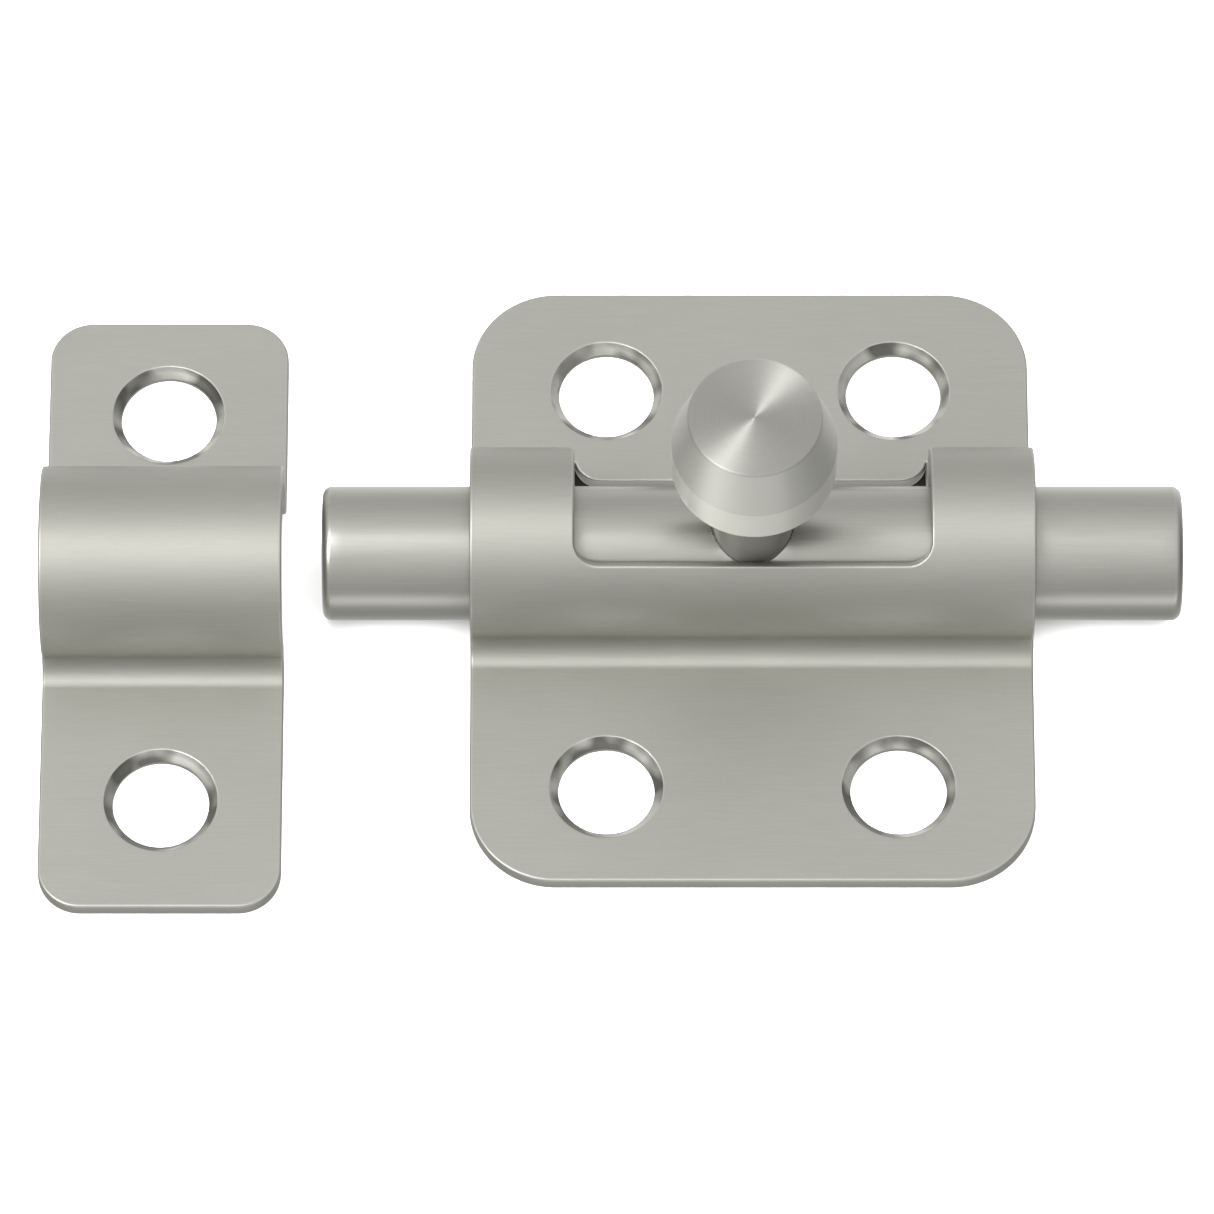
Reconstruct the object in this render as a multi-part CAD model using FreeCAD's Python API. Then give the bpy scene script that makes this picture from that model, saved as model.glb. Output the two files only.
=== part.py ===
import FreeCAD, Part
import math
import os

# A small surface barrel bolt and its strike, lying as they are screwed to a closed door and its frame.
# The mounting plane is Z = 0 and the fronts face +Z. The bolt slides along X, and shoots towards -X.
# The origin is the centre of the barrel plate's four screw holes, on the mounting plane.
# Lengths are in millimetres and angles in degrees.

# Sheet that the barrel plate and the strike are both pressed from
sheet = 1.2
bend_r = 1.65  # hollow corner between a flange and the half-round, on the front

# Screw holes, the same in both plates
screw_hole_d = 7.15
countersink_d = 8.35
countersink_angle = 82.0

# Bolt rod
rod_d = 10.0
rod_length = 64.0
rod_end_r = 0.7
travel = 10.1  # each way from the middle of the window

# How the rod lies in the two half-round tunnels
door_gap = 0.05  # between the back of the rod and the mounting plane
tunnel_play = 1.0  # all round, with the rod and tunnel on one axis
rest_gap = 0.2  # between the rod and the tunnel wall that it lies nearest to

# Barrel plate
plate_length = 42.0
plate_width = 49.8
plate_corner_r = 6.4
plate_hole_spacing_x = 21.7
plate_hole_spacing_y = 33.6
plate_middle_above_holes = 0.3
barrel_y = 1.6  # axis of the barrel

# Window punched in the barrel, and the flat tongue that the punching leaves on the back flange
window_corner_r = 1.8
window_end_gap = 0.125  # between the knob's stem and a window end, at full travel
window_front_gap = 0.15  # between the knob's stem and the window's front edge
tongue_reach = 1.15  # how far the tongue stands out past the line where the barrel's bend starts
tongue_corner_r = 2.05

# Strike
strike_length = 18.0
strike_width = 49.4
strike_corner_r = 3.2
strike_hole_spacing_y = 32.6
strike_gap = 2.9  # between the end of the drawn-back rod and the strike
strike_tunnel_above_middle = 2.05
strike_holes_above_middle = 0.45

# Knob: heights are above the rod's axis
stem_d = 6.05
stem_seat_h = 3.6
shank_d = 4.0
shank_end_h = -1.2
head_d = 12.2
head_base_h = 13.7
head_band_top_h = 17.05
head_face_d = 9.8
head_face_h = 21.0
knob_edge_r = 0.2
thread_gap = 0.05
stem_socket_gap = 0.03

# Friction spring, a bowed leaf in a slot along the back of the rod
slot_depth = 1.6
slot_end_gap = 1.0
slot_side_gap = 0.2
leaf_length = 18.0
leaf_width = 3.0
leaf_thickness = 0.3
leaf_corner_r = 1.0

# Sizes that follow
rod_r = rod_d / 2
rod_z = rod_r + door_gap
tunnel_r = rod_r + tunnel_play
tunnel_z = rod_z
rod_lie = tunnel_play - rest_gap
rod_y = barrel_y - rod_lie
strike_tunnel_y = rod_y - rod_lie
strike_y = strike_tunnel_y - strike_tunnel_above_middle
strike_x = -(rod_length / 2 + strike_gap + strike_length / 2)
strike_hole_y = strike_y + strike_holes_above_middle
stem_r = stem_d / 2
window_half_length = travel + stem_r + window_end_gap
window_front_angle = math.asin((rod_lie + stem_r + window_front_gap) / tunnel_r)
half_round_r = tunnel_r + sheet
bend_z = sheet + bend_r
bend_y = math.sqrt((half_round_r + bend_r) ** 2 - (tunnel_z - bend_z) ** 2)
bend_line_y = barrel_y + bend_y
past = 2 * half_round_r  # long enough for a cutting shape to pass right through

UP = FreeCAD.Vector(0, 0, 1)
ALONG = FreeCAD.Vector(1, 0, 0)


def block(low, high):
    """A box between two opposite corners."""
    return Part.makeBox(high[0] - low[0], high[1] - low[1], high[2] - low[2], FreeCAD.Vector(*low))


def arc(centre, radius, angles):
    """An arc in the YZ plane through three angles, measured from +Y towards +Z."""
    points = [
        FreeCAD.Vector(0, centre[0] + radius * math.cos(a), centre[1] + radius * math.sin(a)) for a in angles
    ]
    return Part.Arc(*points).toShape()


def rounded_prism(centre, length, width, corner_r, z_low, z_high):
    """An upright prism with a rounded rectangular outline."""
    x, y = centre
    prism = block((x - length / 2, y - width / 2, z_low), (x + length / 2, y + width / 2, z_high))
    uprights = [e for e in prism.Edges if abs(e.tangentAt(e.FirstParameter).z) > 0.5]
    return prism.makeFillet(corner_r, uprights)


def pressed_sheet(centre, length, width, corner_r, tunnel_y):
    """Flat sheet with rounded corners and a half-round tunnel pressed in it along X, open at the back."""
    y_low = centre[1] - width / 2
    y_high = centre[1] + width / 2
    tilt = math.asin((tunnel_z - bend_z) / (half_round_r + bend_r))
    front = (tunnel_y - bend_y, bend_z)
    back = (tunnel_y + bend_y, bend_z)
    axis = (tunnel_y, tunnel_z)
    down = -math.pi / 2

    def surface(z, bend_radius, round_radius):
        """One face of the sheet, from the front flange over the tunnel to the back flange."""
        return [
            Part.makeLine(FreeCAD.Vector(0, y_low, z), FreeCAD.Vector(0, front[0], z)),
            arc(front, bend_radius, (down, (down + tilt) / 2, tilt)),
            arc(axis, round_radius, (math.pi + tilt, math.pi / 2, -tilt)),
            arc(back, bend_radius, (math.pi - tilt, (3 * math.pi / 2 + math.pi - tilt) / 2, 3 * math.pi / 2)),
            Part.makeLine(FreeCAD.Vector(0, back[0], z), FreeCAD.Vector(0, y_high, z)),
        ]

    edges = surface(sheet, bend_r, half_round_r) + surface(0, bend_r + sheet, tunnel_r)
    for y in (y_low, y_high):
        edges.append(Part.makeLine(FreeCAD.Vector(0, y, 0), FreeCAD.Vector(0, y, sheet)))
    section = Part.Face(Part.Wire(Part.__sortEdges__(edges)))
    section.translate(ALONG * (centre[0] - length / 2))
    strip = section.extrude(ALONG * length)
    outline = rounded_prism(centre, length, width, corner_r, -sheet, past + sheet)
    return strip.common(outline)


def screw_hole(x, y):
    """The cutting shape of one countersunk screw hole."""
    hole_r = screw_hole_d / 2
    slope = math.tan(math.radians(countersink_angle / 2))
    depth = (countersink_d - screw_hole_d) / 2 / slope
    hole = Part.makeCylinder(hole_r, 3 * sheet, FreeCAD.Vector(x, y, -sheet))
    cone_top_r = countersink_d / 2 + sheet * slope
    cone = Part.makeCone(hole_r, cone_top_r, depth + sheet, FreeCAD.Vector(x, y, sheet - depth))
    return hole.fuse(cone)


def window_cutters():
    """The window: leaned back square to the barrel at its front edge, and straight down at its back."""
    front = rounded_prism((0, past / 2), 2 * window_half_length, past, window_corner_r, 0, past)
    front.rotate(FreeCAD.Vector(0, 0, 0), ALONG, math.degrees(window_front_angle))
    front.translate(FreeCAD.Vector(0, barrel_y, tunnel_z))
    back = block((-window_half_length, barrel_y, -sheet), (window_half_length, bend_line_y, past))
    return [front, back]


def tongue_relief(side):
    """The cutting shape that rounds one corner of the tongue and frees it from the barrel's leg."""
    tip_y = bend_line_y - tongue_reach
    outer_x = side * window_half_length
    inner_x = side * (window_half_length - tongue_corner_r)
    low_x, high_x = sorted((outer_x, inner_x))
    centre = FreeCAD.Vector(inner_x, tip_y + tongue_corner_r, -sheet)
    corner = block((low_x, tip_y, -sheet), (high_x, tip_y + tongue_corner_r, past))
    return corner.cut(Part.makeCylinder(tongue_corner_r, past + sheet, centre))


def barrel_plate():
    """Flanges and barrel in one piece of sheet, with the window and four screw holes."""
    middle = (0, plate_middle_above_holes)
    plate = pressed_sheet(middle, plate_length, plate_width, plate_corner_r, barrel_y)
    for cutter in window_cutters():
        plate = plate.cut(cutter)
    tongue = block(
        (-window_half_length, bend_line_y - tongue_reach, 0), (window_half_length, bend_line_y, sheet)
    )
    plate = plate.fuse(tongue).removeSplitter()
    for side in (-1, 1):
        plate = plate.cut(tongue_relief(side))
        for row in (-1, 1):
            plate = plate.cut(screw_hole(side * plate_hole_spacing_x / 2, row * plate_hole_spacing_y / 2))
    return plate


def strike_plate():
    """The keeper: the same half-round across a narrow strip, with one screw hole in each flange."""
    plate = pressed_sheet(
        (strike_x, strike_y), strike_length, strike_width, strike_corner_r, strike_tunnel_y
    )
    for side in (-1, 1):
        plate = plate.cut(screw_hole(strike_x, strike_hole_y + side * strike_hole_spacing_y / 2))
    return plate


def bolt_rod():
    """Round bar with rounded ends, a socket and tapped hole for the knob, and a slot for the spring."""
    rod = Part.makeCylinder(rod_r, rod_length, FreeCAD.Vector(-rod_length / 2, rod_y, rod_z), ALONG)
    ends = [e for e in rod.Edges if isinstance(e.Curve, Part.Circle)]
    rod = rod.makeFillet(rod_end_r, ends)
    socket = Part.makeCylinder(
        stem_r + stem_socket_gap, rod_r, FreeCAD.Vector(0, rod_y, rod_z + stem_seat_h), UP
    )
    tapped = Part.makeCylinder(
        shank_d / 2 + thread_gap,
        stem_seat_h - shank_end_h + thread_gap,
        FreeCAD.Vector(0, rod_y, rod_z + shank_end_h - thread_gap),
        UP,
    )
    slot_length = leaf_length + 2 * slot_end_gap
    slot_width = leaf_width + 2 * slot_side_gap
    slot = rounded_prism((0, rod_y), slot_length, slot_width, slot_width / 2.01, -rod_r, door_gap + slot_depth)
    return rod.cut(socket).cut(tapped).cut(slot)


def knob():
    """Turned in one piece: threaded shank, stem, and a head with a band, a cone and a flat face."""
    profile = [
        (0, shank_end_h),
        (shank_d / 2, shank_end_h),
        (shank_d / 2, stem_seat_h),
        (stem_r, stem_seat_h),
        (stem_r, head_base_h),
        (head_d / 2, head_base_h),
        (head_d / 2, head_band_top_h),
        (head_face_d / 2, head_face_h),
        (0, head_face_h),
    ]
    points = [FreeCAD.Vector(r, rod_y, rod_z + h) for r, h in profile]
    half = Part.Face(Part.makePolygon(points + points[:1]))
    turned = half.revolve(FreeCAD.Vector(0, rod_y, rod_z), UP, 360)
    head_rims = [
        e
        for e in turned.Edges
        if isinstance(e.Curve, Part.Circle) and e.Curve.Radius > stem_r + knob_edge_r
    ]
    return turned.makeFillet(knob_edge_r, head_rims)


def friction_spring():
    """Bowed leaf: its ends bear on the floor of the rod's slot, and its middle on the door."""
    floor_z = door_gap + slot_depth
    crown_z = door_gap + leaf_thickness
    rise = floor_z - crown_z
    half = leaf_length / 2
    inner_r = (half**2 + rise**2) / (2 * rise)
    outer_r = inner_r + leaf_thickness
    spread = math.asin(half / inner_r)
    centre_z = crown_z + inner_r
    side = rod_y - leaf_width / 2

    def point(radius, angle):
        return FreeCAD.Vector(radius * math.sin(angle), side, centre_z - radius * math.cos(angle))

    inner = [point(inner_r, a) for a in (-spread, 0, spread)]
    outer = [point(outer_r, a) for a in (spread, 0, -spread)]
    edges = [
        Part.Arc(*inner).toShape(),
        Part.makeLine(inner[2], outer[0]),
        Part.Arc(*outer).toShape(),
        Part.makeLine(outer[2], inner[0]),
    ]
    leaf = Part.Face(Part.Wire(edges)).extrude(FreeCAD.Vector(0, leaf_width, 0))
    outline = rounded_prism(
        (0, rod_y), 2 * outer_r * math.sin(spread), leaf_width, leaf_corner_r, -rod_r, rod_r
    )
    return leaf.common(outline)


os.makedirs("parts", exist_ok=True)
for build in (barrel_plate, strike_plate, bolt_rod, knob, friction_spring):
    shape = build()
    shape.exportStep("parts/" + build.__name__ + ".step")
    print(build.__name__, len(shape.Solids), shape.isValid(), round(shape.Volume, 2), shape.BoundBox)
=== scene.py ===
import bmesh
import bpy
import math
import numpy as np
from mathutils import Matrix, Vector
from mathutils.geometry import delaunay_2d_cdt


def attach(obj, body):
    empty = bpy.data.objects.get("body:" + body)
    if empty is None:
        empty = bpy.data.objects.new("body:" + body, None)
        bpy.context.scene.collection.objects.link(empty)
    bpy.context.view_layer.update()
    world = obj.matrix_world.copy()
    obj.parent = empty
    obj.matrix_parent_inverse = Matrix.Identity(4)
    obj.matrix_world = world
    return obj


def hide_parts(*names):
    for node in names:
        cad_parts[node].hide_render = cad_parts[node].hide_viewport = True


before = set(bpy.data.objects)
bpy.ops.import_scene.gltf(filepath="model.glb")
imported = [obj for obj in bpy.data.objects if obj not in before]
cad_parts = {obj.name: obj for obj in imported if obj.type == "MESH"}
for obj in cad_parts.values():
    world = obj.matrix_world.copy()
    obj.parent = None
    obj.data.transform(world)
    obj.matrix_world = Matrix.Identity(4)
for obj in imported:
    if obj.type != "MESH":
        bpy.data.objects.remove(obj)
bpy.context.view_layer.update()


# ---- Barrel plate ------------------------------------------------------------------------------
# One blank of steel sheet with a window and four countersunk screw holes in it, pressed so that its
# middle stands up as a half-round barrel, then tumbled, brushed and plated in satin nickel.

# Sizes are in millimetres until a mesh is made.
MM = 0.001

sheet = 1.2
bend_r = 1.65
half_round_r = 7.2
tunnel_z = 5.05
plate_length = 42.0
plate_width = 49.8
plate_corner_r = 6.4
plate_middle_y = 0.3
plate_hole_x = 10.85
plate_hole_y = 16.8
screw_hole_r = 3.575
countersink_r = 4.175
countersink_depth = 0.69
barrel_y = 1.6
window_half_length = 13.25
window_front_lean = math.radians(41.49)
window_corner_r = 1.8
tongue_reach = 1.15
tongue_corner_r = 2.05
notch_tip_r = 0.03
front_edge_r = 0.16
back_edge_r = 0.09
edge_margin = 0.07
countersink_lip = (0.8, 0.5)
cone_rings = range(3, 10)
bend_rows = 23
round_rows = 77
flat_step = 1.5
row_clearance = 0.05
fill_clearance = 0.3
wear_from_degrees = 6.0
wear_span_degrees = 12.0

bend_z = sheet + bend_r
bend_y = math.sqrt((half_round_r + bend_r) ** 2 - (tunnel_z - bend_z) ** 2)
bend_tilt = math.asin((tunnel_z - bend_z) / (half_round_r + bend_r))
bend_sweep = math.pi / 2 + bend_tilt
round_sweep = math.pi + 2 * bend_tilt


class Pressing:
    """The way a flat blank is bent over the tunnel. Along the blank, s is Y on the back flange and
    goes on over the front of the sheet to the front flange."""

    def __init__(self, tunnel_y, flat_half_x=0.0):
        self.tunnel_y = tunnel_y
        self.flat_half_x = flat_half_x
        self.back = tunnel_y + bend_y
        self.round_start = self.back - bend_r * bend_sweep
        self.crown = self.round_start - half_round_r * round_sweep / 2
        self.round_end = self.round_start - half_round_r * round_sweep
        self.front = self.round_end - bend_r * bend_sweep
        self.front_shift = tunnel_y - bend_y - self.front

    def place(self, x, s, depth):
        """Where a point of the blank goes, that far under the front of the sheet."""
        tongue = abs(x) < self.flat_half_x and s > self.crown
        if s >= self.back or tongue:
            y, z, ny, nz = s, sheet, 0.0, 1.0
        elif s > self.round_start:
            turn = (self.back - s) / bend_r
            ny, nz = math.sin(turn), math.cos(turn)
            y, z = self.back - bend_r * ny, bend_z - bend_r * nz
        elif s > self.round_end:
            turn = (self.round_start - s) / half_round_r - bend_tilt
            ny, nz = math.cos(turn), math.sin(turn)
            y, z = self.tunnel_y + half_round_r * ny, tunnel_z + half_round_r * nz
        elif s > self.front:
            turn = bend_tilt - (self.round_end - s) / bend_r
            ny, nz = -math.cos(turn), -math.sin(turn)
            y, z = self.tunnel_y - bend_y - bend_r * ny, bend_z - bend_r * nz
        else:
            y, z, ny, nz = s + self.front_shift, sheet, 0.0, 1.0
        return (x, y - depth * ny, z - depth * nz)

    def stations(self, low, high):
        """Values of s close enough together for every bend to look round."""
        bend = np.linspace(self.back, self.round_start, bend_rows)
        top = np.linspace(self.round_start, self.round_end, round_rows)
        foot = np.linspace(self.round_end, self.front, bend_rows)
        flats = np.concatenate(
            [np.arange(self.front, low, -flat_step)[1:], np.arange(self.back, high, flat_step)[1:]]
        )
        every = np.unique(np.round(np.concatenate([bend, top, foot, flats]), 6))
        return every[(every > low + row_clearance) & (every < high - row_clearance)]


def arc_points(centre, radius, start, end, step=0.12):
    """Points along an arc, without its last one. The angles are in radians."""
    count = max(6, math.ceil(abs(end - start) * radius / step))
    angles = np.linspace(start, end, count, endpoint=False)
    return [(centre[0] + radius * math.cos(a), centre[1] + radius * math.sin(a)) for a in angles]


def line_points(start, end, step=flat_step):
    """Points along a straight stretch, without its last one."""
    count = max(1, math.ceil(math.dist(start, end) / step))
    return [tuple(np.array(start) + (np.array(end) - start) * k / count) for k in range(count)]


def outline(centre_x, low, high, half_length, corner_r, stations):
    """A rounded rectangle on the blank, anticlockwise, with points on the stations along its sides."""
    left, right = centre_x - half_length, centre_x + half_length
    inner_l, inner_r = left + corner_r, right - corner_r
    bottom, top = low + corner_r, high - corner_r
    rising = stations[(stations > bottom) & (stations < top)]
    quarter = math.pi / 2
    return (
        arc_points((inner_r, bottom), corner_r, -quarter, 0)
        + [(right, bottom)]
        + [(right, s) for s in rising]
        + arc_points((inner_r, top), corner_r, 0, quarter)
        + line_points((inner_r, high), (inner_l, high))
        + arc_points((inner_l, top), corner_r, quarter, 2 * quarter)
        + [(left, top)]
        + [(left, s) for s in rising[::-1]]
        + arc_points((inner_l, bottom), corner_r, 2 * quarter, 3 * quarter)
        + line_points((inner_l, low), (inner_r, low))
    )


def circle(centre, radius):
    """A round hole on the blank, clockwise."""
    return arc_points(centre, radius, 2 * math.pi, 0)


def window_outline(pressing, stations):
    """The window on the blank, clockwise: up one leg, round the tongue and down the other leg."""
    tip = pressing.back - tongue_reach
    front = pressing.round_start - half_round_r * (math.pi / 2 + window_front_lean + bend_tilt)
    half = window_half_length
    quarter = math.pi / 2
    arc_x = half - tongue_corner_r
    arc_s = tip + tongue_corner_r
    notch_x = half - notch_tip_r
    notch_s = arc_s - math.sqrt((tongue_corner_r + notch_tip_r) ** 2 - (notch_x - arc_x) ** 2)
    lean = math.atan2(arc_s - notch_s, notch_x - arc_x)
    rising = stations[(stations > front + window_corner_r) & (stations < notch_s)]
    right_side = (
        arc_points((arc_x, arc_s), tongue_corner_r, -quarter, -lean)
        + arc_points((notch_x, notch_s), notch_tip_r, math.pi - lean, 0, 0.01)
        + [(half, notch_s)]
        + [(half, s) for s in rising[::-1]]
        + arc_points((half - window_corner_r, front + window_corner_r), window_corner_r, 0, -quarter)
    )
    left_side = [(-x, s) for x, s in reversed(right_side)]
    return (
        line_points((-arc_x, tip), (arc_x, tip))
        + right_side
        + line_points((half - window_corner_r, front), (window_corner_r - half, front))
        + [(window_corner_r - half, front)]
        + left_side[:-1]
    )


def edge_profile(hole=False):
    """How far into the metal and how deep each ring of an edge lies, from the front to the back,
    and 1 on the rings of the countersink's cone."""
    rings = [(front_edge_r + edge_margin, 0.0)]
    for turn in np.linspace(0, math.pi / 2, 5):
        rings.append((front_edge_r * (1 - math.sin(turn)), front_edge_r * (1 - math.cos(turn))))
    if hole:
        flare = countersink_r - screw_hole_r
        narrower, shallower = countersink_lip
        rings = [(flare + inset * narrower, depth * shallower) for inset, depth in rings]
        rings += [(flare / 2, (countersink_depth + front_edge_r * shallower) / 2)]
        rings += [(0.04, countersink_depth - 0.05), (0.01, countersink_depth - 0.01)]
        rings += [(0.0, countersink_depth + 0.05)]
    rings.append((0.0, sheet * 0.75))
    for turn in np.linspace(math.pi / 2, 0, 4):
        rings.append((back_edge_r * (1 - math.sin(turn)), sheet - back_edge_r * (1 - math.cos(turn))))
    rings.append((back_edge_r + edge_margin, sheet))
    return [(*ring, float(hole and k in cone_rings)) for k, ring in enumerate(rings)]


def inward(loop):
    """The direction into the metal at each point of a loop that keeps the metal on its left."""
    points = np.array(loop)
    along = np.roll(points, -1, axis=0) - points
    along /= np.linalg.norm(along, axis=1)[:, None]
    mean = along + np.roll(along, 1, axis=0)
    mean /= np.linalg.norm(mean, axis=1)[:, None]
    return np.column_stack([-mean[:, 1], mean[:, 0]])


def inside(points, loop):
    """Which points lie inside a closed loop."""
    x, y = points[:, 0][:, None], points[:, 1][:, None]
    a = np.array(loop)
    b = np.roll(a, -1, axis=0)
    crosses = (a[:, 1] > y) != (b[:, 1] > y)
    rise = np.where(b[:, 1] == a[:, 1], 1.0, b[:, 1] - a[:, 1])
    reach = a[:, 0] + (y - a[:, 1]) * (b[:, 0] - a[:, 0]) / rise
    return (crosses & (x < reach)).sum(axis=1) % 2 == 1


def face_triangles(rings, fill):
    """Triangles between the rings, with the fill points that lie clear of them."""
    fixed = np.concatenate([np.array(r) for r in rings])
    keep = inside(fill, rings[0])
    for ring in rings[1:]:
        keep &= ~inside(fill, ring)
    fill = fill[keep]
    nearest = np.array([np.min(np.hypot(*(fixed - p).T)) for p in fill])
    fill = fill[nearest > fill_clearance]
    points = np.concatenate([fixed, fill])
    edges = []
    start = 0
    for ring in rings:
        count = len(ring)
        edges += [(start + k, start + (k + 1) % count) for k in range(count)]
        start += count
    found = delaunay_2d_cdt([Vector(p) for p in points], edges, [], 0, 1e-7)
    triangles = [tuple(found[3][corner][0] for corner in face) for face in found[2]]
    middles = points[np.array(triangles)].mean(axis=1)
    good = inside(middles, rings[0])
    for ring in rings[1:]:
        good &= ~inside(middles, ring)
    return points, [t for t, ok in zip(triangles, good) if ok]


def mesh_piece(name, points, faces, sharp_degrees=40, cuts=()):
    """A smooth-shaded object from points in millimetres, with edges over that angle kept crisp. Its
    wear attribute is 1 along outer edges, and its cut attribute is 1 in the countersinks."""
    mesh = bpy.data.meshes.new(name)
    mesh.from_pydata([tuple(c * MM for c in p) for p in points], [], faces)
    work = bmesh.new()
    work.from_mesh(mesh)
    cut_layer = work.verts.layers.float.new("cut")
    for vert, cut in zip(work.verts, cuts):
        vert[cut_layer] = cut
    bmesh.ops.remove_doubles(work, verts=work.verts, dist=2e-8)
    bmesh.ops.dissolve_degenerate(work, edges=work.edges, dist=1e-9)
    bmesh.ops.recalc_face_normals(work, faces=work.faces)
    wear = work.verts.layers.float.new("wear")
    for vert in work.verts:
        turn = max(math.degrees(edge.calc_face_angle_signed(0.0)) for edge in vert.link_edges)
        vert[wear] = min(1.0, max(0.0, (turn - wear_from_degrees) / wear_span_degrees))
    work.to_mesh(mesh)
    work.free()
    mesh.polygons.foreach_set("use_smooth", [True] * len(mesh.polygons))
    mesh.set_sharp_from_angle(angle=math.radians(sharp_degrees))
    piece = bpy.data.objects.new(name, mesh)
    bpy.context.scene.collection.objects.link(piece)
    return piece


def ring_quads(start, count, ring_count):
    """Quads between rings of points, of one length, that follow one another."""
    quads = []
    for k in range(ring_count - 1):
        for j in range(count):
            a, b = start + k * count + j, start + k * count + (j + 1) % count
            quads.append((a, b, b + count, a + count))
    return quads


def press(name, pressing, loops, profiles, fill):
    """Presses a blank into shape: an edge band round each loop, and a front and a back face."""
    points, faces, cuts = [], [], []
    front_rings, back_rings, front_ids, back_ids = [], [], [], []
    for loop, profile in zip(loops, profiles):
        base, lean = np.array(loop), inward(loop)
        count = len(base)
        start = len(points)
        for inset, depth, cut in profile:
            points += [pressing.place(x, s, depth) for x, s in base + lean * inset]
            cuts += [cut] * count
        faces += ring_quads(start, count, len(profile))
        last = start + (len(profile) - 1) * count
        front_rings.append([tuple(p) for p in base + lean * profile[0][0]])
        back_rings.append([tuple(p) for p in base + lean * profile[-1][0]])
        front_ids += range(start, start + count)
        back_ids += range(last, last + count)
    thickness = profiles[0][-1][1]
    for rings, ids, depth in ((front_rings, front_ids, 0.0), (back_rings, back_ids, thickness)):
        where, triangles = face_triangles(rings, fill)
        extra = len(points) - len(ids)
        points += [pressing.place(x, s, depth) for x, s in where[len(ids):]]
        ids = list(ids) + [extra + k for k in range(len(ids), len(where))]
        faces += [tuple(ids[k] for k in t) for t in triangles]
    return mesh_piece(name, points, faces, cuts=cuts)


def fill_points(centre_x, half_length, stations):
    """Points spread over the blank on its stations."""
    xs = centre_x + np.linspace(-half_length, half_length, max(8, round(half_length * 1.6)))
    return np.array([(x, s) for s in stations for x in xs])


plate_bend = Pressing(barrel_y, flat_half_x=window_half_length - 0.001)
plate_low = plate_middle_y - plate_width / 2 - plate_bend.front_shift
plate_high = plate_middle_y + plate_width / 2
plate_stations = plate_bend.stations(plate_low, plate_high)
plate_loops = [
    outline(0.0, plate_low, plate_high, plate_length / 2, plate_corner_r, plate_stations),
    window_outline(plate_bend, plate_stations),
]
plate_profiles = [edge_profile(), edge_profile()]
for side in (-1, 1):
    for s in (plate_hole_y, -plate_hole_y - plate_bend.front_shift):
        plate_loops.append(circle((side * plate_hole_x, s), screw_hole_r))
        plate_profiles.append(edge_profile(hole=True))

barrel_plate = press(
    "pressed_barrel_plate",
    plate_bend,
    plate_loops,
    plate_profiles,
    fill_points(0.0, plate_length / 2, plate_stations),
)
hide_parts("barrel_plate")
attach(barrel_plate, "plates")


class Value:
    """A socket's value, so that sums in a material read as sums."""

    def __init__(self, finish, socket):
        self.finish = finish
        self.socket = socket

    def sum(self, operation, *values):
        return self.finish.node("ShaderNodeMath", {"operation": operation}, values)

    def __add__(self, other):
        return self.sum("ADD", self, other)

    def __radd__(self, other):
        return self.sum("ADD", other, self)

    def __sub__(self, other):
        return self.sum("SUBTRACT", self, other)

    def __rsub__(self, other):
        return self.sum("SUBTRACT", other, self)

    def __mul__(self, other):
        return self.sum("MULTIPLY", self, other)

    def __rmul__(self, other):
        return self.sum("MULTIPLY", other, self)

    def __pow__(self, other):
        return self.sum("POWER", self, other)

    def kept(self, low, high):
        """The value kept between two limits."""
        return self.sum("MINIMUM", self.sum("MAXIMUM", self, low), high)


class Finish:
    """A node tree under construction, with the shader that it feeds."""

    def __init__(self, tree, shader):
        self.tree = tree
        self.shader = shader

    def node(self, kind, settings, sockets, output=0):
        """Adds a node: its settings first, then its sockets by name or in order."""
        node = self.tree.nodes.new(kind)
        for key, setting in settings.items():
            setattr(node, key, setting)
        for key, value in sockets.items() if isinstance(sockets, dict) else enumerate(sockets):
            self.feed(node.inputs[key], value)
        return Value(self, node.outputs[output])

    def feed(self, socket, value):
        if isinstance(value, Value):
            self.tree.links.new(value.socket, socket)
        else:
            socket.default_value = value

    def set(self, sockets):
        """Sets or links sockets of the shader."""
        for key, value in sockets.items():
            self.feed(self.shader.inputs[key], value)

    def place(self, x=1.0, y=1.0, z=1.0):
        """The place on the piece, with that many features to a millimetre each way."""
        here = self.node("ShaderNodeTexCoord", {}, [], "Object")
        scale = (x / MM, y / MM, z / MM)
        return self.node("ShaderNodeVectorMath", {"operation": "MULTIPLY"}, [here, scale])

    def axes(self, vector):
        """The X, Y and Z of a vector."""
        parts = self.node("ShaderNodeSeparateXYZ", {}, [vector]).socket.node
        return [Value(self, part) for part in parts.outputs]

    def noise(self, place, detail=2.0, rough=0.5):
        """Smooth noise from 0 to 1, about a half."""
        sockets = {"Vector": place, "Scale": 1.0, "Detail": detail, "Roughness": rough}
        return self.node("ShaderNodeTexNoise", {}, sockets)

    def tint(self, share, first, second):
        """A colour between two, each of them a colour or another tint."""
        start, end = [c if isinstance(c, Value) else (*c, 1.0) for c in (first, second)]
        return self.node("ShaderNodeMix", {"data_type": "RGBA"}, {0: share, 6: start, 7: end}, 2)

    def bump(self, height, depth, strength=1.0):
        """Relief that many millimetres deep."""
        sockets = {"Strength": strength, "Distance": depth * MM, "Height": height}
        return self.node("ShaderNodeBump", {}, sockets)

    def mark(self, name):
        """One of the mesh's own marks: wear is 1 on outer edges, and cut is 1 in the countersinks."""
        return self.node("ShaderNodeAttribute", {"attribute_name": name}, [], 2)


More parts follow.
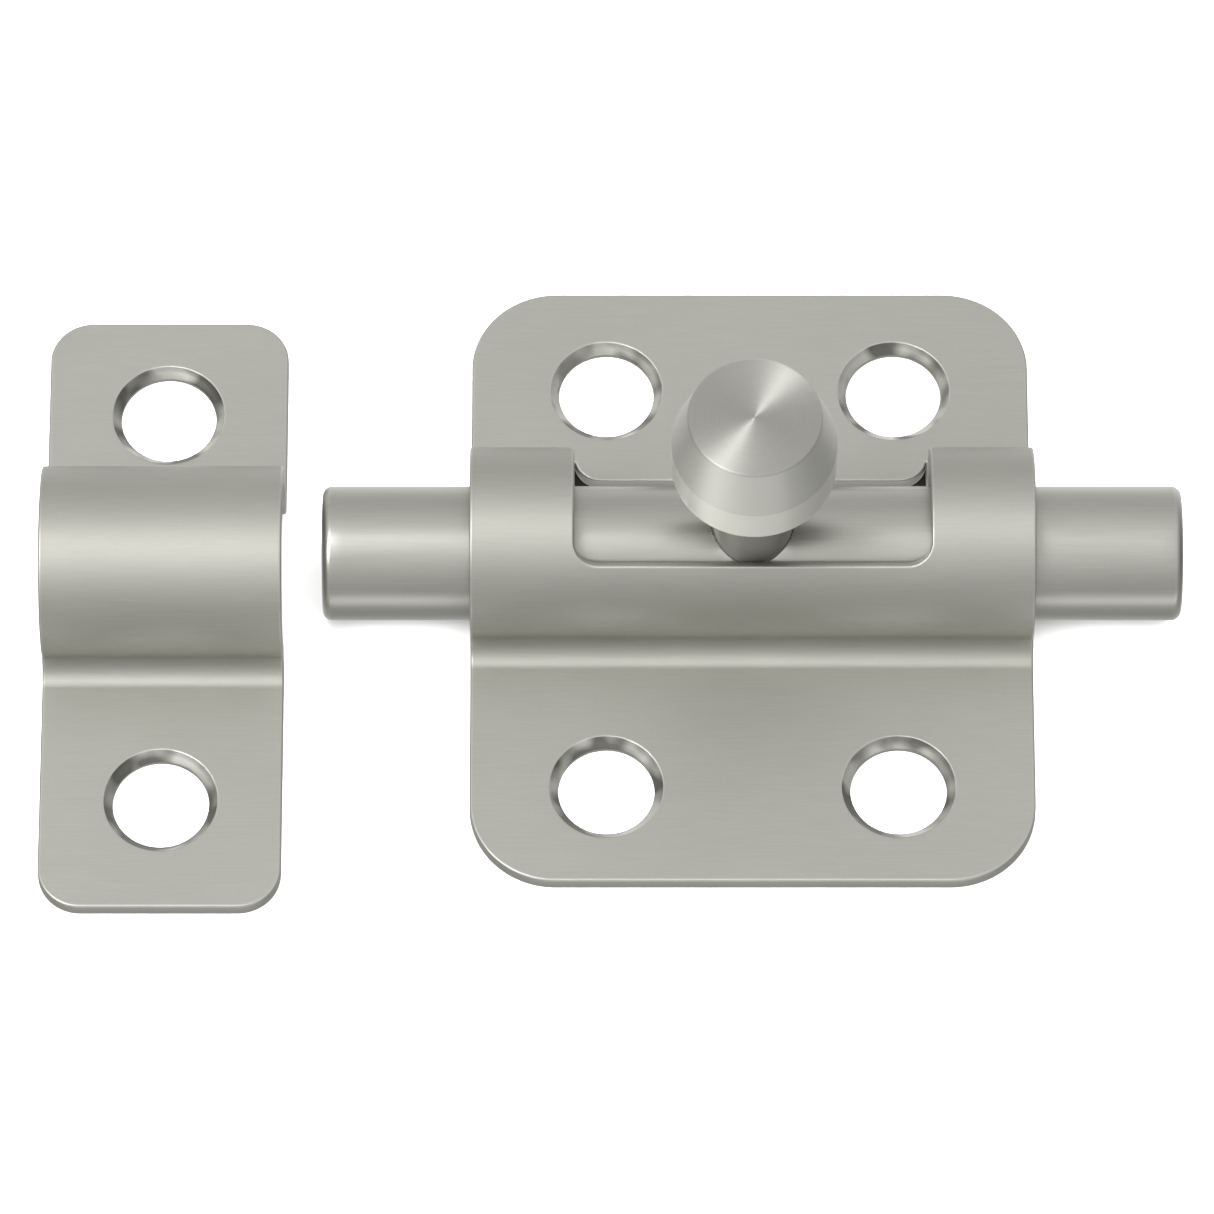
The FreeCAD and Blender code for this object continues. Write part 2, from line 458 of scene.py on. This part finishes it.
def metal(name):
    """A new metal material."""
    material = bpy.data.materials.new(name)
    material.use_nodes = True
    finish = Finish(material.node_tree, material.node_tree.nodes["Principled BSDF"])
    finish.set({"Metallic": 1.0})
    return material, finish


nickel_light = (0.55, 0.547, 0.498)
nickel_dark = (0.445, 0.442, 0.403)
nickel_edge = (0.6, 0.596, 0.548)
countersink_painted_highlight = (0.8, 0.795, 0.74)
countersink_painted_shade = (0.24, 0.239, 0.213)


def satin_nickel(name, brush, roughness, relief):
    """Satin nickel plate over metal that was brushed along X: brush is features to a millimetre. The
    countersinks have painted highlights and painted shade: light and dark patches in their colour."""
    material, finish = metal(name)
    lines = finish.noise(finish.place(brush * 0.03, brush, brush), 3.0, 0.6)
    bands = finish.noise(finish.place(brush * 0.006, brush * 0.17, brush * 0.17), 1.0)
    cloud = finish.noise(finish.place(0.07, 0.07, 0.07), 2.0)
    speck = finish.noise(finish.place(6.0, 6.0, 6.0), 2.0, 0.7)
    worn = finish.mark("wear")
    mottle = 0.5 + 1.6 * (0.55 * lines + 0.2 * speck + 0.25 * cloud - 0.5)
    shade = finish.tint(mottle, nickel_dark, nickel_light)
    # Painted highlights and painted shade in the countersinks: light and dark patches of colour.
    patches = finish.noise(finish.place(0.4, 0.4, 0.4), 1.0)
    countersink_painted_light_and_shade = finish.tint((0.38 + 4.5 * (patches - 0.5)).kept(0.0, 1.0), countersink_painted_shade, countersink_painted_highlight)
    finish.set({
        "Base Color": finish.tint(
            finish.mark("cut"), finish.tint(worn, shade, nickel_edge), countersink_painted_light_and_shade
        ),
        "Roughness": roughness - 0.05 + 0.06 * lines + 0.04 * bands - 0.06 * worn,
        "Normal": finish.bump(0.65 * lines + 0.2 * bands + 0.15 * speck, relief),
    })
    return material


sheet_finish = satin_nickel("satin nickel on brushed sheet", brush=9.0, roughness=0.52, relief=0.005)
barrel_plate.data.materials.append(sheet_finish)


# ---- Strike ------------------------------------------------------------------------------------
# A narrow strip of the same sheet, pressed to the same half-round, with one countersunk screw hole
# in each flange. It is screwed to the frame, and the bolt shoots into its tunnel.

strike_x = -43.9
strike_length = 18.0
strike_width = 49.4
strike_corner_r = 3.2
strike_tunnel_y = 0.0
strike_middle_y = -2.05
strike_holes_y = -1.6
strike_hole_half_spacing = 16.3

strike_bend = Pressing(strike_tunnel_y)
strike_low = strike_middle_y - strike_width / 2 - strike_bend.front_shift
strike_high = strike_middle_y + strike_width / 2
strike_stations = strike_bend.stations(strike_low, strike_high)
strike_loops = [
    outline(strike_x, strike_low, strike_high, strike_length / 2, strike_corner_r, strike_stations)
]
strike_profiles = [edge_profile()]
for s in (
    strike_holes_y + strike_hole_half_spacing,
    strike_holes_y - strike_hole_half_spacing - strike_bend.front_shift,
):
    strike_loops.append(circle((strike_x, s), screw_hole_r))
    strike_profiles.append(edge_profile(hole=True))

strike_plate = press(
    "pressed_strike_plate",
    strike_bend,
    strike_loops,
    strike_profiles,
    fill_points(strike_x, strike_length / 2, strike_stations),
)
strike_plate.data.materials.append(sheet_finish)
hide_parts("strike_plate")
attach(strike_plate, "plates")


# ---- Bolt rod ----------------------------------------------------------------------------------
# Drawn round bar, cut to length and turned round at its ends. A socket and a tapped hole in its
# middle take the knob, and a slot milled along its back takes the friction spring.

rod_r = 5.0
rod_half_length = 32.0
rod_end_r = 0.7
rod_y = 0.8
rod_z = 5.05
socket_r = 3.055
socket_floor_z = rod_z + 3.6
tapped_r = 2.05
tapped_floor_z = rod_z - 1.25
slot_half_length = 10.0
slot_half_width = 1.7
slot_floor_z = 1.65
rim_r = 0.08
skin_row_count = 97
skin_column_count = 72
end_face_radii = (4.2, 3.6, 2.4, 1.2, 0.4)


def rod_skin(x, turn, radius=rod_r):
    """A point of the rod: turn is the angle from its front, towards +Y."""
    return (x, rod_y + radius * math.sin(turn), rod_z + radius * math.cos(turn))


def plan_loop(kind, grow):
    """The socket's or the slot's outline seen along Z, as (x, y) from the rod's axis, clockwise, and
    larger by that much all round. It has the same number of points at any size."""
    end, r = slot_half_length - slot_half_width, slot_half_width
    quarter = math.pi / 2
    if kind == "socket":
        loop = arc_points((0.0, 0.0), socket_r, 2 * math.pi, 0, 0.2)
    else:
        loop = (
            arc_points((end, 0.0), r, quarter, -quarter, 0.15)
            + line_points((end, -r), (-end, -r), 0.5)
            + arc_points((-end, 0.0), r, 3 * quarter, quarter, 0.15)
            + line_points((-end, r), (end, r), 0.5)
        )
    return [tuple(p) for p in np.array(loop) + inward(loop) * grow]


def on_skin(loop, front):
    """A plan outline laid on the unrolled skin, as (x, turn times the rod's radius)."""
    if front:
        return [(x, rod_r * math.asin(y / rod_r)) for x, y in loop]
    return [(x, rod_r * (-math.pi - math.asin(y / rod_r))) for x, y in loop]


seam_low = -1.5 * math.pi * rod_r
seam_high = 0.5 * math.pi * rod_r
skin_half = rod_half_length - rod_end_r
seam_rows = np.linspace(seam_low, seam_high, skin_row_count)
skin_columns = np.linspace(-skin_half, skin_half, skin_column_count)
border = (
    [(x, seam_low) for x in skin_columns[:-1]]
    + [(skin_half, s) for s in seam_rows[:-1]]
    + [(x, seam_high) for x in skin_columns[:0:-1]]
    + [(-skin_half, s) for s in seam_rows[:0:-1]]
)
skin_rings = [
    border,
    on_skin(plan_loop("socket", rim_r), True),
    on_skin(plan_loop("slot", rim_r)[::-1], False),
]
skin_fill = np.array([(x, s) for s in seam_rows[1:-1] for x in skin_columns[1:-1]])
skin_points, skin_faces = face_triangles(skin_rings, skin_fill)
rod_points = [rod_skin(x, s / rod_r) for x, s in skin_points]
rod_faces = list(skin_faces)


def add_rings(points, faces, rings, cap):
    """Joins rings of points of one length with quads, and closes the last with a fan."""
    start = len(points)
    count = len(rings[0])
    for ring in rings:
        points += ring
    faces += ring_quads(start, count, len(rings))
    if cap:
        last = start + (len(rings) - 1) * count
        middle = np.mean(rings[-1], axis=0)
        points.append(tuple(middle))
        faces += [(last + j, last + (j + 1) % count, len(points) - 1) for j in range(count)]


def sunk_rings(kind, floor_z, front, bore=None):
    """The walls of the socket or slot, from its broken edge on the skin down to its floor."""
    edge = [rod_skin(x, s / rod_r) for x, s in on_skin(plan_loop(kind, rim_r), front)]
    lip = [rod_skin(x, s / rod_r, rod_r - rim_r) for x, s in on_skin(plan_loop(kind, 0.0), front)]
    plan = plan_loop(kind, 0.0)
    rings = [edge, lip, [(x, rod_y + y, floor_z) for x, y in plan]]
    if bore:
        share = bore[0] / socket_r
        rings.append([(x * share, rod_y + y * share, floor_z) for x, y in plan])
        rings.append([(x * share, rod_y + y * share, bore[1]) for x, y in plan])
    return rings


knob_socket = sunk_rings("socket", socket_floor_z, True, (tapped_r, tapped_floor_z))
add_rings(rod_points, rod_faces, knob_socket, True)
add_rings(rod_points, rod_faces, sunk_rings("slot", slot_floor_z, False), True)
for side in (-1, 1):
    end_rings = []
    for turn in np.linspace(0, math.pi / 2, 9):
        x = side * (skin_half + rod_end_r * math.sin(turn))
        radius = rod_r - rod_end_r * (1 - math.cos(turn))
        end_rings.append([rod_skin(x, s / rod_r, radius) for s in seam_rows[:-1]])
    for radius in end_face_radii:
        x = side * rod_half_length
        end_rings.append([rod_skin(x, s / rod_r, radius) for s in seam_rows[:-1]])
    add_rings(rod_points, rod_faces, end_rings, True)

rod = mesh_piece("drawn_bolt_rod", rod_points, rod_faces, 35)
rod_finish = satin_nickel("satin nickel on drawn bar", brush=6.0, roughness=0.34, relief=0.002)
rod.data.materials.append(rod_finish)
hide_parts("bolt_rod")
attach(rod, "bolt")


# ---- Knob --------------------------------------------------------------------------------------
# Turned from bar in one piece: a flat face with the tool's rings on it, a cone, a short straight
# band, a slim stem and a threaded shank that screws into the rod.

stem_r = 3.025
stem_seat = 3.6
shank_r = 2.0
shank_end = -1.2
thread_pitch = 0.7
thread_depth = 0.12
head_r = 6.1
head_base = 13.7
band_top = 17.05
face_r = 4.9
face_h = 21.0
centre_r = 0.3
turned_edge_r = 0.2
outline_step = 0.7
turn_count = 128


def rounded(corners, radius):
    """A turned outline of (radius, height) corners, with the marked ones rounded."""
    out = []
    for k, (r, h, soft) in enumerate(corners):
        here = Vector((r, h))
        if not soft:
            out.append(here)
            continue
        before = (Vector(corners[k - 1][:2]) - here).normalized()
        after = (Vector(corners[k + 1][:2]) - here).normalized()
        half = before.angle(after) / 2
        reach = radius / math.tan(half)
        centre = here + (before + after).normalized() * (radius / math.sin(half))
        start = here + before * reach - centre
        sweep = math.pi - 2 * half
        turn = 1 if before.x * after.y - before.y * after.x < 0 else -1
        for share in np.linspace(0, 1, 7):
            a = turn * sweep * share
            out.append(
                centre
                + Vector((
                    start.x * math.cos(a) - start.y * math.sin(a),
                    start.x * math.sin(a) + start.y * math.cos(a),
                ))
            )
    return out


def spaced(profile, step):
    """The same outline with no stretch longer than a step."""
    out = []
    for a, b in zip(profile, profile[1:]):
        count = max(1, math.ceil((b - a).length / step))
        out += [a + (b - a) * k / count for k in range(count)]
    return out + [profile[-1]]


knob_corners = [
    (centre_r, face_h, False),
    (face_r, face_h, True),
    (head_r, band_top, True),
    (head_r, head_base, True),
    (stem_r, head_base, True),
    (stem_r, stem_seat, False),
    (shank_r, stem_seat, False),
]
thread_turns = math.floor((stem_seat - shank_end) / thread_pitch)
thread = [
    Vector((shank_r - (thread_depth if k % 2 else 0.0), stem_seat - 0.1 - k * thread_pitch / 2))
    for k in range(2 * thread_turns)
]
knob_profile = (
    spaced(rounded(knob_corners, turned_edge_r), outline_step)
    + thread
    + [Vector((shank_r - thread_depth, shank_end)), Vector((centre_r, shank_end))]
)
knob_turns = np.linspace(0, 2 * math.pi, turn_count, endpoint=False)
knob_points, knob_faces = [], []
knob_rings = [
    [(p.x * math.cos(a), rod_y + p.x * math.sin(a), rod_z + p.y) for a in knob_turns]
    for p in knob_profile
]
add_rings(knob_points, knob_faces, knob_rings, True)
add_rings(knob_points, knob_faces, [knob_rings[0]], True)

knob = mesh_piece("turned_knob", knob_points, knob_faces, 35)


turned_light = (0.62, 0.616, 0.568)
turned_dark = (0.48, 0.476, 0.44)
# A painted highlight colour for the band and cone, and a painted shade colour for the stem.
cone_and_band_painted_highlight = (0.86, 0.855, 0.795)
stem_painted_shade = (0.36, 0.357, 0.328)
corner_crispness = 20.0


def turned_nickel(name):
    """Satin nickel over lathe-turned metal, with the tool's rings about the knob's axis. The band
    and cone carry a painted highlight, a brighter base colour than the faced top, and the stem
    carries painted shade, a darker base colour."""
    material, finish = metal(name)
    x, y, z = finish.axes(finish.place())
    radius = (x * x + (y - rod_y) * (y - rod_y)) ** 0.5
    rings = finish.node(
        "ShaderNodeTexNoise",
        {"noise_dimensions": "1D"},
        {"W": radius * 5.0 + z * 5.0, "Scale": 1.0, "Detail": 4.0, "Roughness": 0.65},
    )
    cloud = finish.noise(finish.place(0.2, 0.2, 0.2))
    over_base = ((z - (rod_z + head_base)) * corner_crispness).kept(0.0, 1.0)
    under_face = ((rod_z + face_h - 0.15 - z) * corner_crispness).kept(0.0, 1.0)
    under_cone = ((rod_z + band_top - z) * corner_crispness).kept(0.0, 1.0)
    # A painted highlight on the band and cone, plus brighter wear on the head's edges.
    bright = over_base * (0.2 * finish.mark("wear") + 0.5 * under_face + 0.4 * under_cone)
    speck = finish.noise(finish.place(9.0, 9.0, 9.0), 2.0, 0.7)
    grain = 0.5 + 1.5 * (0.4 * rings + 0.35 * speck + 0.25 * cloud - 0.5)
    # Painted shade: the stem below the head takes a darker colour.
    shade = finish.tint(over_base, stem_painted_shade, finish.tint(grain, turned_dark, turned_light))
    finish.set({
        "Base Color": finish.tint(bright, shade, cone_and_band_painted_highlight),
        "Roughness": 0.48 + 0.06 * rings + 0.05 * speck - 0.04 * bright,
        "Anisotropic": 0.86,
        "Anisotropic Rotation": 0.25,
        "Normal": finish.bump(0.7 * rings + 0.3 * speck, 0.004),
    })
    return material


knob.data.materials.append(turned_nickel("satin nickel on turned knob"))
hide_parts("knob")
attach(knob, "bolt")


# ---- Friction spring ---------------------------------------------------------------------------
# A strip of bright spring steel, bowed so that its ends bear in the rod's slot and its middle
# bears on the door. It keeps the bolt where it is put.

leaf_half_length = 9.0
leaf_half_width = 1.5
leaf_thickness = 0.3
leaf_corner_r = 1.0
leaf_crown_z = 0.35
leaf_edge_r = 0.05

leaf_rise = slot_floor_z - leaf_crown_z
leaf_bend_r = (leaf_half_length**2 + leaf_rise**2) / (2 * leaf_rise)
leaf_half_arc = math.asin(leaf_half_length / leaf_bend_r) * (leaf_bend_r + leaf_thickness)


class Bow:
    """The strip's bend, with s along its width and depth counted down from the side at the rod."""

    def place(self, along, across, depth):
        turn = along / (leaf_bend_r + leaf_thickness)
        reach = leaf_bend_r + depth
        z = leaf_crown_z + leaf_bend_r - reach * math.cos(turn)
        return (reach * math.sin(turn), rod_y + across, z)


leaf_rows = np.linspace(-leaf_half_width, leaf_half_width, 9)
leaf_loop = outline(
    0.0, -leaf_half_width, leaf_half_width, leaf_half_arc, leaf_corner_r, leaf_rows[1:-1]
)
leaf_profile = [(leaf_edge_r, 0.0, 0.0), (0.0, leaf_edge_r, 0.0)]
leaf_profile += [(0.0, leaf_thickness - leaf_edge_r, 0.0), (leaf_edge_r, leaf_thickness, 0.0)]


def spring_steel(name):
    """Bright rolled strip, with rolling lines along it and a faint straw tint from tempering."""
    material, finish = metal(name)
    lines = finish.noise(finish.place(0.2, 8.0, 8.0), 3.0, 0.6)
    cloud = finish.noise(finish.place(0.3, 0.3, 0.3))
    finish.set({
        "Base Color": finish.tint(0.5 * lines + 0.5 * cloud, (0.36, 0.35, 0.33), (0.5, 0.48, 0.44)),
        "Roughness": 0.24 + 0.1 * lines,
        "Normal": finish.bump(lines, 0.0015),
    })
    return material


spring = press(
    "bowed_friction_spring",
    Bow(),
    [leaf_loop],
    [leaf_profile],
    fill_points(0.0, leaf_half_arc, leaf_rows[1:-1]),
)
spring.data.materials.append(spring_steel("bright tempered spring strip"))
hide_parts("friction_spring")
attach(spring, "bolt")


# ---- Floor, light and camera -------------------------------------------------------------------
# The part lies on a white card in a soft grey dome, with a long soft box over it and a strip low in
# front. A wide lamp whitens the card alone, and a black card under the barrel is painted shade inside
# it.
# The camera has a long lens and looks down from above the front.

def card(name, low, high, z, light, dark):
    """A flat card between two corners, with a faint fibre in its colour. The metal doesn't mirror
    it, and it casts no shadow."""
    sheet_of_card = bpy.data.objects.new(name, bpy.data.meshes.new(name))
    corners = [(low[0], low[1]), (high[0], low[1]), (high[0], high[1]), (low[0], high[1])]
    sheet_of_card.data.from_pydata([(x * MM, y * MM, z * MM) for x, y in corners], [], [(0, 1, 2, 3)])
    sheet_of_card.visible_glossy = False
    sheet_of_card.visible_shadow = False
    bpy.context.scene.collection.objects.link(sheet_of_card)
    material = bpy.data.materials.new(name)
    material.use_nodes = True
    finish = Finish(material.node_tree, material.node_tree.nodes["Principled BSDF"])
    fibre = finish.noise(finish.place(0.5, 0.5, 0.5))
    finish.set({
        "Base Color": finish.tint(fibre, dark, light),
        "Roughness": 0.9,
        "Specular IOR Level": 0.1,
    })
    sheet_of_card.data.materials.append(material)


card("white_card", (-2000, -2000), (2000, 2000), -0.02, (0.9, 0.9, 0.9), (0.86, 0.86, 0.86))
# A black card, painted shade under the barrel where the gaps would show the white card.
card("painted_shade_card", (-20.5, -6.5), (20.5, 11.6), -0.01, (0.02, 0.02, 0.018), (0.01, 0.01, 0.009))

dome_light = 0.5
dome_tilt = 0.12
dome_rise = 0.3
side_shade = 0.65
back_shade = 0.15
back_glow = 0.7
back_glow_from = Vector((0.0, 0.75, -0.66)).normalized()
world = bpy.data.worlds.new("soft dome")
world.use_nodes = True
bpy.context.scene.world = world
dome = Finish(world.node_tree, world.node_tree.nodes["Background"])
outward = dome.node("ShaderNodeTexCoord", {}, [], "Generated")
across, behind, height = dome.axes(outward)
toward_glow = dome.node(
    "ShaderNodeVectorMath", {"operation": "DOT_PRODUCT"}, [outward, tuple(back_glow_from)], "Value"
)
glow = back_glow * toward_glow.kept(0.0, 1.0) ** 3.0
open_dome = dome_light + dome_tilt * height + dome_rise * height.kept(0.0, 1.0)
shaded_dome = open_dome * (1.0 - side_shade * (across * across) ** 2.0)
shaded_dome = shaded_dome * (1.0 - back_shade * behind.kept(0.0, 1.0) ** 2.0)
dome.set({
    "Color": (1.0, 1.0, 1.0, 1.0),
    "Strength": shaded_dome + glow,
})


def lamp(name, toward, distance, length, width, along, power):
    """A soft box in that direction from the part and facing it, with its long side along a direction."""
    light = bpy.data.lights.new(name, "AREA")
    light.shape = "RECTANGLE"
    light.size = length
    light.size_y = width
    light.energy = power
    holder = bpy.data.objects.new(name, light)
    back = Vector(toward).normalized()
    side = (Vector(along) - back * back.dot(Vector(along))).normalized()
    holder.matrix_world = Matrix((side, back.cross(side), back)).transposed().to_4x4()
    holder.location = back * distance
    bpy.context.scene.collection.objects.link(holder)
    return holder


lamp(
    "long_soft_box",
    toward=(-0.46, -0.24, 0.85),
    distance=1.2,
    length=0.95,
    width=0.3,
    along=(0.38, 0.59, 0.43),
    power=6.4,
)
lamp(
    "front_strip",
    toward=(0.0, -0.88, -0.47),
    distance=1.2,
    length=1.6,
    width=0.3,
    along=(1.0, 0.0, 0.0),
    power=1.6,
)
card_lamp = lamp(
    "card_lamp",
    toward=(0.0, 0.0, 1.0),
    distance=1.5,
    length=2.2,
    width=2.2,
    along=(1.0, 0.0, 0.0),
    power=115.0,
)
card_lamp.visible_glossy = False

camera_tilt = math.radians(28)
camera_distance = 825.0 * MM
camera_aim = Vector((-10.8, -0.83, -0.44)) * MM
camera_sensor = 36.0
camera_lens = 326.2
toward_camera = Vector((0, -math.sin(camera_tilt), math.cos(camera_tilt)))
camera = bpy.data.objects.new("camera", bpy.data.cameras.new("camera"))
camera.data.sensor_width = camera_sensor
camera.data.lens = camera_lens
camera.location = camera_aim + toward_camera * camera_distance
camera.rotation_mode = "QUATERNION"
camera.rotation_quaternion = (-toward_camera).to_track_quat("-Z", "Y")
bpy.context.scene.collection.objects.link(camera)
bpy.context.scene.camera = camera
bpy.context.scene.view_settings.view_transform = "Standard"
